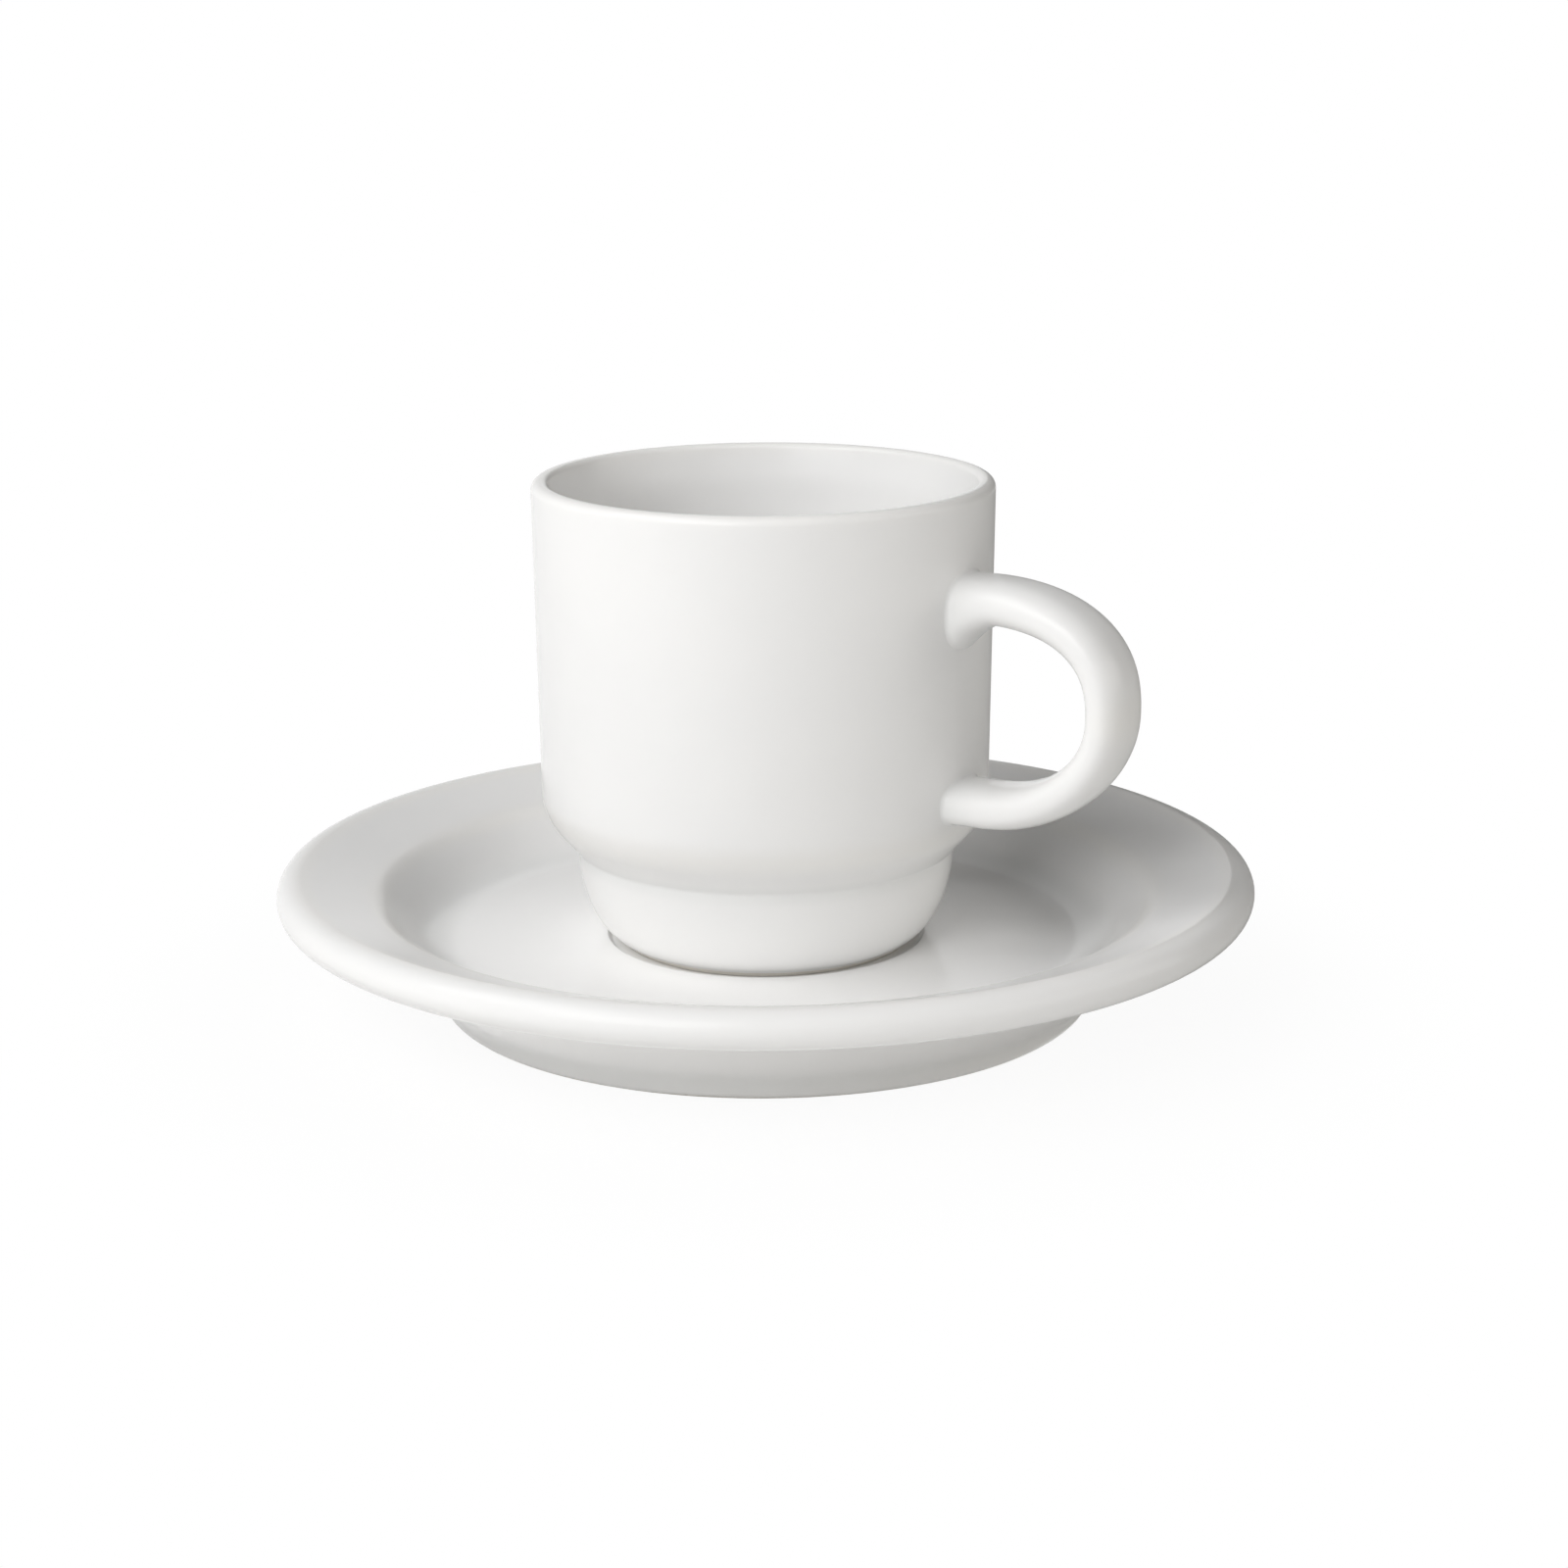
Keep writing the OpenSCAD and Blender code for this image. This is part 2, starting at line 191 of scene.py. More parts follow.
class HandleSizes(PropertyGroup):
    """Sizes of the handle, close to its solid's, with a fuller flare and a finer fillet."""

    drop: length("Drop", 12.7 * MM, "From the lip down to the middle of the upper arm")
    span: length("Span", 26.6 * MM, "Between the middles of the two arms")
    crown_drop: length("Crown drop", 13.1 * MM, "From the upper arm down to the outermost point")
    reach: length("Reach", 20.2 * MM, "From the lip's outer face to the handle's middle there")
    upper_run: length("Upper run", 1.5 * MM, "How far the upper arm runs straight past the lip")
    lower_run: length("Lower run", 3.5 * MM, "How far the lower arm runs straight past the lip")
    upper_thick: length("Upper thickness", 6.1 * MM, "Thickness of the upper arm")
    crown_thick: length("Crown thickness", 5.1 * MM, "Thickness at the outermost point")
    lower_thick: length("Lower thickness", 5.7 * MM, "Thickness of the lower arm")
    upper_wide: length("Upper width", 10.2 * MM, "Width of the upper arm")
    crown_wide: length("Crown width", 10.6 * MM, "Width at the outermost point")
    lower_wide: length("Lower width", 10.4 * MM, "Width of the lower arm")
    root_fillet: length("Root fillet", 0.5 * MM, "Radius of the slip fillet round both roots")
    under_flare: length("Under flare", 3.7 * MM, "How far the upper root flares down")
    under_reach: length("Under reach", 5.5 * MM, "Length of the arm over which it does so")
    settle: length("Settle", 7 * MM, "Length over which the section leaves the wall's curve")
    sunk: length("Sunk", 0.08 * MM, "How far the roots are sunk in the wall")
    squareness: share("Squareness", 0.5743, "Bevel profile of the section, 0.5 for an ellipse")
    upper_bend: share("Upper bend", 0.81, "Power of the upper bend, less than 1 for a square one")
    lower_bend: FloatProperty(
        name="Lower bend", description="Power of the lower bend, 1 for an ellipse",
        default=1.0, min=0.5, max=1.5,
    )
    arm_rings: IntProperty(
        name="Arm rings", description="Rings along each straight arm", default=10, min=4)
    bend_rings: IntProperty(
        name="Bend rings", description="Rings along each bend", default=36, min=8)
    corner_steps: IntProperty(
        name="Corner steps", description="Steps round each corner of the section",
        default=14, min=4)


class GlazeLook(PropertyGroup):
    """Colours and surface of the white glaze, with painted shade in its hollows, and of the dry
    clay under the feet.
    """

    white: colour("Glaze", (0.94, 0.936, 0.927), "White of the glaze over the clay")
    cloud: colour("Clouding", (0.925, 0.922, 0.915), "White of the faint clouds in the glaze")
    # Painted shade in the hollows, with the glaze that pools there: a cooler, darker white
    pooled_shade: colour("Pooled glaze", (0.895, 0.897, 0.888), "Cooler white where glaze has pooled")
    thin: colour("Thin glaze", (0.945, 0.936, 0.915), "Warmer white where the glaze runs thin")
    clay: colour("Dry clay", (0.76, 0.725, 0.665), "Unglazed clay of the foot rings")
    gloss: share("Glaze roughness", 0.2, "Roughness of the fired glaze")
    dryness: share("Clay roughness", 0.75, "Roughness of the dry clay")
    peel: length("Orange peel", 0.006 * MM, "Depth of the fine orange peel")
    wave: length("Waves", 0.03 * MM, "Depth of the slow waves in the glaze")
    grain: length("Clay grain", 0.02 * MM, "Depth of the grain of the dry clay")
    coat: share("Coat", 0.03, "Weight of the clear coat on the glaze")
    coat_gloss: share("Coat roughness", 0.12, "Roughness of that coat")
    ior: FloatProperty(
        name="Refraction", description="Index of refraction of the glaze", default=1.25, min=1.0)
    # Widths of the rings of painted shade and pooled glaze in the hollows, corners and roots
    seat_shade_pool: length("Seat pool", 1.2 * MM, "Width of the pool round the saucer's seat")
    well_shade_pool: length("Well pool", 4 * MM, "Width of the pool round the saucer's floor")
    foot_shade_pool: length("Foot pool", 3 * MM, "Width of the pool over the saucer's foot")
    step_shade_pool: length("Step pool", 2.2 * MM, "Width of the pool in the cup's step")
    floor_shade_pool: length("Floor pool", 14 * MM, "Radius of the pool on the cup's floor")
    root_shade_pool: length("Root pool", 5 * MM, "Width of the pools at the handle's roots")
    well_edge: length("Well edge", 3 * MM, "Width of the thin glaze round the saucer's well")
    roll_edge: length("Roll edge", 2.5 * MM, "Width of the thin glaze on the saucer's edge")
    lip_edge: length("Lip edge", 2.4 * MM, "Width of the thin glaze on the cup's lip")
    shoulder_edge: length("Shoulder edge", 3.5 * MM, "Width of the thin glaze on the shoulder")
    crown_edge: length("Crown edge", 5 * MM, "Width of the thin glaze on the handle's crown")
    saucer_dry: length("Saucer dry", 0.3 * MM, "Height of the dry clay under the saucer's foot")


class StageSettings(PropertyGroup):
    """Camera, lights, floor and grey cards."""

    camera_turn: angle("Camera turn", 30.9, "Angle of the camera about the cup's axis")
    camera_distance: length("Camera distance", 0.42438, "Level distance from the axis")
    camera_height: length("Camera height", 0.14007, "Height of the camera above the table")
    camera_pitch: angle("Camera pitch", 14.716, "How far the camera looks down")
    camera_yaw: angle("Camera yaw", 0.335, "How far the camera looks to its right of the axis")
    camera_roll: angle("Camera roll", -0.295, "How far the camera is rolled")
    lens: FloatProperty(
        name="Lens", description="Focal length on a 36 mm sensor", default=76.2, min=1.0,
        unit="CAMERA")
    light_distance: length("Light distance", 1.0, "Distance of the lights from the middle")
    key_turn: angle("Key turn", -1, "Angle of the key light about the cup's axis")
    key_rise: angle("Key rise", 32, "Height of the key light above the horizon")
    key_width: length("Key width", 0.6, "Width of the key light")
    key_height: length("Key height", 0.6, "Height of the key light")
    key_power: power("Key power", 5.3, "Power of the key light")
    side_turn: angle("Side turn", -42, "Angle of the side light about the cup's axis")
    side_rise: angle("Side rise", 50, "Height of the side light above the horizon")
    side_width: length("Side width", 0.6, "Width of the side light")
    side_height: length("Side height", 0.6, "Height of the side light")
    side_power: power("Side power", 3.9, "Power of the side light")
    fill_turn: angle("Fill turn", 107, "Angle of the fill light about the cup's axis")
    fill_rise: angle("Fill rise", 18, "Height of the fill light above the horizon")
    fill_width: length("Fill width", 1.2, "Width of the fill light")
    fill_height: length("Fill height", 0.5, "Height of the fill light")
    fill_power: power("Fill power", 3.1, "Power of the fill light")
    key_colour: colour("Key colour", (1.0, 1.0, 1.0), "Colour of the key light")
    side_colour: colour("Side colour", (1.0, 1.0, 1.0), "Colour of the side light")
    fill_colour: colour("Fill colour", (1.0, 0.977, 0.935), "Colour of the fill light")
    ambient: share("Ambient", 0.02, "Level of the light from all round")
    floor_size: length("Floor size", 3.0, "Radius of the floor")
    floor_white: colour("Floor", (0.97, 0.965, 0.952), "Floor, for the light it throws back")
    shadow_share: share("Shadow", 0.08, "How much of the floor's own shading the camera sees")
    shadow_reach: length("Shadow reach", 0.1, "Radius within which it sees that shading")
    card_turn: angle("Card turn", 170, "Angle of the upright grey card about the cup's axis")
    card_distance: length("Card distance", 0.6, "Distance of that card from the axis")
    card_width: length("Card width", 0.8, "Width of that card")
    card_height: length("Card height", 0.7, "Height of that card")
    flat_right: length("Flat card right", 0.2, "How far right of the axis the flat card lies")
    flat_back: length("Flat card back", 0.2, "How far behind the axis it lies")
    flat_width: length("Flat card width", 0.45, "Width of the flat card")
    flat_depth: length("Flat card depth", 0.5, "Depth of the flat card")
    flat_fade: length("Flat card fade", 0.1, "Width over which its inner edge fades in")
    card_grey: share("Card grey", 0.4, "Grey of the cards that the glaze mirrors")


def new_mesh(name):
    """Empties the selection, adds a square from -1 to 1 and opens it for editing."""
    bpy.ops.object.select_all(action="DESELECT")
    bpy.ops.mesh.primitive_plane_add(size=2)
    piece = bpy.context.active_object
    piece.name = name
    piece.data.name = name
    bpy.ops.object.mode_set(mode="EDIT")
    bpy.ops.mesh.select_all(action="SELECT")
    return piece


def select_where(piece, test):
    """Selects the vertices whose place passes the test, and the edges between them."""
    bpy.ops.mesh.select_all(action="DESELECT")
    mesh = bmesh.from_edit_mesh(piece.data)
    for vertex in mesh.verts:
        vertex.select_set(test(vertex.co))
    mesh.select_flush_mode()
    bmesh.update_edit_mesh(piece.data)


def round_off(piece, before, corner, after, radius):
    """Rounds the outline's corner between its two straight sides."""
    half = (before - corner).angle(after - corner) / 2
    turn = math.pi - 2 * half
    select_where(piece, lambda place: (place - corner).length < TOUCH)
    bpy.ops.mesh.bevel(
        offset_type="OFFSET", offset=radius / math.tan(half), affect="VERTICES",
        segments=max(FEWEST_ARC_STEPS, round(turn / ARC_STEP)), profile=ROUND,
        clamp_overlap=False,
    )


def draw_outline(name, corners):
    """Draws an outline in the XZ plane by extruding one vertex from corner to corner.

    A corner is its distance from the axis, its height, and the radius that rounds it.
    """
    piece = new_mesh(name)
    bpy.ops.mesh.merge(type="CENTER")
    places = [Vector((out, 0, height)) for out, height, _ in corners]
    bpy.ops.transform.translate(value=places[0])
    for start, end in zip(places, places[1:]):
        bpy.ops.mesh.extrude_vertices_move(TRANSFORM_OT_translate={"value": end - start})
    for before, place, after, corner in zip(places, places[1:], places[2:], corners[1:]):
        if corner[2]:
            round_off(piece, before, place, after, corner[2])
    return piece


def halve_long_edges(piece):
    """Subdivides the outline until no edge is longer than the longest allowed."""
    while True:
        bpy.ops.mesh.select_all(action="DESELECT")
        mesh = bmesh.from_edit_mesh(piece.data)
        long_edges = [edge for edge in mesh.edges if edge.calc_length() > LONGEST_EDGE]
        if not long_edges:
            return
        for edge in long_edges:
            edge.select_set(True)
        bmesh.update_edit_mesh(piece.data)
        bpy.ops.mesh.subdivide(number_cuts=1)


def close_skin(piece):
    """Merges what touches, turns the faces outwards and leaves edit mode."""
    bpy.ops.mesh.select_all(action="SELECT")
    bpy.ops.mesh.remove_doubles(threshold=TOUCH)
    bpy.ops.mesh.normals_make_consistent(inside=False)
    mesh = bmesh.from_edit_mesh(piece.data)
    if any(not edge.is_manifold for edge in mesh.edges) or mesh.calc_volume(signed=True) <= 0:
        raise RuntimeError(f"the skin of {piece.name} is not closed with its faces outwards")
    bpy.ops.object.mode_set(mode="OBJECT")
    bpy.ops.object.shade_smooth_by_angle(angle=SMOOTH_BELOW)


def throw(piece):
    """Spins the outline about the Z axis into a closed skin."""
    bpy.ops.mesh.select_all(action="SELECT")
    bpy.ops.mesh.remove_doubles(threshold=TOUCH)
    halve_long_edges(piece)
    bpy.ops.mesh.select_all(action="SELECT")
    bpy.ops.mesh.spin(steps=WHEEL_STEPS, angle=math.tau, center=(0, 0, 0), axis=(0, 0, 1))
    close_skin(piece)


def settle_in(piece, body, node, material):
    """Gives a finished piece its material, and its place in the frame."""
    piece.data.materials.clear()
    piece.data.materials.append(material)
    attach(piece, body)
    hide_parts(node)


class Socket:
    """A socket of a node tree, whose sums and products become Math nodes."""

    def __init__(self, tree, socket=None):
        self.tree = tree
        self.socket = socket

    def feed(self, target, value):
        """Links a socket to the target, or sets the target's own value."""
        if isinstance(value, Socket):
            self.tree.links.new(value.socket, target)
        else:
            target.default_value = value

    def node(self, kind, settings=None, sockets=None, output=0):
        """Adds a node, sets its settings and then its sockets, and wraps one output."""
        node = self.tree.nodes.new(kind)
        for name, value in (settings or {}).items():
            setattr(node, name, value)
        for name, value in (sockets or {}).items():
            self.feed(node.inputs[name], value)
        return Socket(self.tree, node.outputs[output])

    def math(self, operation, *values):
        """A Math node on these values."""
        return self.node("ShaderNodeMath", {"operation": operation}, dict(enumerate(values)))

    def __add__(self, other):
        return self.math("ADD", self, other)

    def __sub__(self, other):
        return self.math("SUBTRACT", self, other)

    def __rsub__(self, other):
        return self.math("SUBTRACT", other, self)

    def __mul__(self, other):
        return self.math("MULTIPLY", self, other)

    __radd__ = __add__
    __rmul__ = __mul__

    def ease(self, start, end):
        """0 at start and 1 at end, easing at both."""
        return self.node(
            "ShaderNodeMapRange", {"interpolation_type": "SMOOTHSTEP"},
            {"Value": self, "From Min": start, "From Max": end, "To Min": 0.0, "To Max": 1.0})

    def mixed(self, first, second):
        """The first colour where this is 0 and the second where it is 1."""
        return self.node(
            "ShaderNodeMix", {"data_type": "RGBA"}, {0: self, 6: first, 7: second}, output=2)

    def varied(self, amount):
        """From 1 less the amount to 1 and the amount, as this goes from 0 to 1."""
        return (1 - amount) + 2 * amount * self

    def noise(self, place, scale, detail):
        """Noise at that place, with that many cells to the metre."""
        return self.node(
            "ShaderNodeTexNoise", None,
            {"Vector": place, "Scale": scale, "Detail": detail, "Roughness": 0.5})


def solid(rgb):
    """A colour with its alpha."""
    return (*rgb, 1.0)


def glaze(name, look, shade_pools, edges, dry_foot):
    """White glaze over clay.

    Pools and edges are rings: distance from the axis, height and width. Pools are where the
    glaze is thick, a cooler, darker white that is pooled glaze and painted shade in the hollows;
    edges are where the glaze is thin. The dry foot is the height below which the clay is bare,
    or None.
    """
    material = bpy.data.materials.new(name)
    material.use_nodes = True
    tree = material.node_tree
    shader = tree.nodes["Principled BSDF"]
    new = Socket(tree)
    place = new.node("ShaderNodeTexCoord", output="Object")
    split = place.node("ShaderNodeSeparateXYZ", None, {0: place})
    x, y, z = (Socket(tree, output) for output in split.socket.node.outputs)
    out = new.math("SQRT", x * x + y * y)
    clouds = new.noise(place, *CLOUDS)
    waves = new.noise(place, *WAVES)
    peel = new.noise(place, *PEEL)

    def near(rings):
        """1 in the middle of these rings and 0 outside them."""
        total = None
        for ring_out, ring_z, width in rings:
            off = new.math("SQRT", new.math("POWER", out - ring_out, 2.0)
                           + new.math("POWER", z - ring_z, 2.0))
            mask = off.ease(width, 0.0)
            total = mask if total is None else new.math("MAXIMUM", total, mask)
        return total

    skin = clouds.ease(*CLOUD_LEVELS).mixed(solid(look.white), solid(look.cloud))
    # Painted shade: a cooler, darker white in the hollows, corners and roots, where shade falls,
    # with the glaze that pools there
    skin = (near(shade_pools) * clouds.varied(SHADE_POOLS_VARY)).mixed(skin, solid(look.pooled_shade))
    skin = (near(edges) * waves.varied(EDGES_VARY)).mixed(skin, solid(look.thin))
    rough = look.gloss * clouds.varied(GLOSS_VARIES)
    height = look.wave * waves + look.peel * peel
    if dry_foot is not None:
        grain = new.noise(place, *GRAIN)
        line = z + (clouds - 0.5) * LINE_WANDER
        bare = line.ease(dry_foot + LINE_BAND, dry_foot)
        skin = bare.mixed(skin, grain.ease(*GRAIN_LEVELS).mixed(
            solid(look.clay), solid([DARK_GRAIN * part for part in look.clay])))
        rough = rough + bare * (look.dryness - rough)
        height = height + bare * grain * look.grain
        new.feed(shader.inputs["Coat Weight"], look.coat - look.coat * bare)
    else:
        shader.inputs["Coat Weight"].default_value = look.coat
    shader.inputs["Coat Roughness"].default_value = look.coat_gloss
    shader.inputs["IOR"].default_value = look.ior
    new.feed(shader.inputs["Base Color"], skin)
    new.feed(shader.inputs["Roughness"], rough)
    new.feed(shader.inputs["Normal"], new.node(
        "ShaderNodeBump", None, {"Strength": 1.0, "Distance": 1.0, "Height": height}))
    return material


def meet(start, run, other_start, other_run):
    """Where two lines in a plane meet."""
    across = run.x * other_run.y - run.y * other_run.x
    apart = other_start - start
    return start + run * ((apart.x * other_run.y - apart.y * other_run.x) / across)


def wall_line(size):
    """The cup's shoulder and the foot of its lip, above its own foot."""
    shoulder = Vector((size.diameter / 2 - size.lean, size.step_height + size.shoulder_rise))
    return shoulder, Vector((size.diameter / 2, size.height - size.wall / 2))


def wall_at(size, height):
    """Outer radius of the cup's wall at that height above its foot."""
    low, high = wall_line(size)
    return low.x + (high.x - low.x) * (height - low.y) / (high.y - low.y)


def fillet(gap, radius):
    """How far a fillet of that radius stands out at that distance from the wall."""
    return 0 if gap >= radius else radius - math.sqrt(radius ** 2 - (radius - gap) ** 2)


class ESPRESSO_OT_saucer(Operator):
    """Draw the saucer's outline, spin it and glaze it"""

    bl_idname = "espresso.saucer"
    bl_label = "Make the saucer"

    def execute(self, context):
        size, look = context.scene.espresso_saucer, context.scene.espresso_glaze
        roll = size.edge / 2
        roll_at = Vector((size.diameter / 2 - roll, size.height - roll))
        well_edge = Vector((roll_at.x - size.rim_width, size.height - size.rim_drop))
        well_foot = well_edge - Vector((size.well_width, size.well_depth))
        floor, seat = well_foot.y, well_foot.y - size.seat_depth
        run = roll_at - well_edge
        slope = math.atan2(run.y, run.x) + math.asin(roll / run.length)
        outwards = Vector((math.cos(slope), math.sin(slope)))
        upwards = Vector((-outwards.y, outwards.x))
        over, under = (roll_at + roll * (outwards + side * upwards) for side in (1, -1))
        curl_end = slope - math.pi / 2 - size.edge_curl
        curl_run = Vector((math.sin(curl_end), -math.cos(curl_end)))
        under_edge = roll_at + roll * Vector((math.cos(curl_end), math.sin(curl_end)))
        under_rim = roll_at + (roll - size.rim_thick) * upwards
        curl = meet(under, outwards, under_edge, curl_run)
        hollow = meet(under_edge, curl_run, under_rim, outwards)
        well_run = Vector((size.well_width, size.well_depth)).normalized()
        below_well = well_foot + size.thickness * Vector((well_run.y, -well_run.x))
        foot = Vector((well_foot.x - size.foot_in, 0))
        foot_run = Vector((size.foot_lean, size.foot_height)).normalized()
        rim_root = meet(under_rim, outwards, below_well, well_run)
        foot_root = meet(foot, foot_run, below_well, well_run)
        ceiling = floor - size.thickness
        inner_foot = foot.x - size.foot_width
        piece = draw_outline("saucer_glazed", [
            (0, seat, 0),
            (size.seat_radius, seat, SOFT_EDGE),
            (size.seat_radius + size.seat_slope, floor, SOFT_EDGE),
            (*well_foot, size.well_cove),
            (*well_edge, size.well_edge),
            (*over, roll),
            (*under, roll),
            (*curl, roll),
            (*hollow, size.edge_hollow),
            (*rim_root, size.foot_cove),
            (*foot_root, size.foot_cove),
            (*foot, size.foot_edge),
            (inner_foot, 0, SOFT_EDGE),
            (inner_foot, ceiling, size.foot_edge),
            (0, ceiling, 0),
        ])
        throw(piece)
        # Painted shade, with pooled glaze, in the seat, the well's cove and the foot's root
        shade_pools = [
            (size.seat_radius + size.seat_slope / 2, seat, look.seat_shade_pool),
            (*well_foot, look.well_shade_pool),
            (*foot_root, look.foot_shade_pool),
        ]
        edges = [
            (*well_edge, look.well_edge),
            (*(roll_at + roll * upwards), look.roll_edge),
        ]
        settle_in(piece, "saucer", "saucer",
                  glaze("saucer_glaze", look, shade_pools, edges, look.saucer_dry))
        return {"FINISHED"}


class ESPRESSO_OT_cup(Operator):
    """Draw the cup's outline, spin it and glaze it"""

    bl_idname = "espresso.cup"
    bl_label = "Make the cup"

    def execute(self, context):
        size, look = context.scene.espresso_cup, context.scene.espresso_glaze
        rise = CUP_FOOT.z
        radius = size.diameter / 2
        shoulder, lip_foot = wall_line(size)
        step = Vector((shoulder.x - size.step_in, size.step_height))
        base = step.x - size.base_in
        floor = size.foot_hollow + size.floor
        ellipse = []
        low = math.asin(1 - size.foot_bevel / size.step_height)
        for i in range(BASE_STEPS):
            turn = low * (1 - i / BASE_STEPS)
            ellipse.append((base + size.base_in * math.cos(turn),
                            size.step_height * (1 - math.sin(turn)), 0))
        foot = ellipse[0][0] - size.foot_bevel
        hollow = foot - size.foot_width
        corners = [
            (0, size.foot_hollow, 0),
            (hollow, size.foot_hollow, size.foot_bevel),
            (hollow, 0, SOFT_EDGE),
            (foot, 0, SOFT_EDGE / 2),
            *ellipse,
            (*step, size.step_fillet),
            (*shoulder, size.shoulder),
            (*lip_foot, 0),
            (radius, size.height, size.lip_round),
            (radius - size.lip_width, size.height,
             LIP_INNER * (size.lip_width - size.lip_round)),
            (radius - size.wall, size.height - size.lip_flare, size.lip_ease),
            (wall_at(size, floor) - size.wall, floor, size.bowl),
            (0, floor, 0),
        ]
        piece = draw_outline("cup_glazed", [(out, up + rise, r) for out, up, r in corners])
        throw(piece)
        # Painted shade, with pooled glaze, in the step's corner and on the cup's floor
        shade_pools = [
            (step.x, step.y + rise, look.step_shade_pool),
            (0, floor + rise, look.floor_shade_pool),
        ]
        edges = [
            (radius - size.lip_round, size.height + rise, look.lip_edge),
            (shoulder.x, shoulder.y + rise, look.shoulder_edge),
        ]
        settle_in(piece, "cup", "cup_body",
                  glaze("cup_glaze", look, shade_pools, edges, rise + size.foot_bevel))
        return {"FINISHED"}


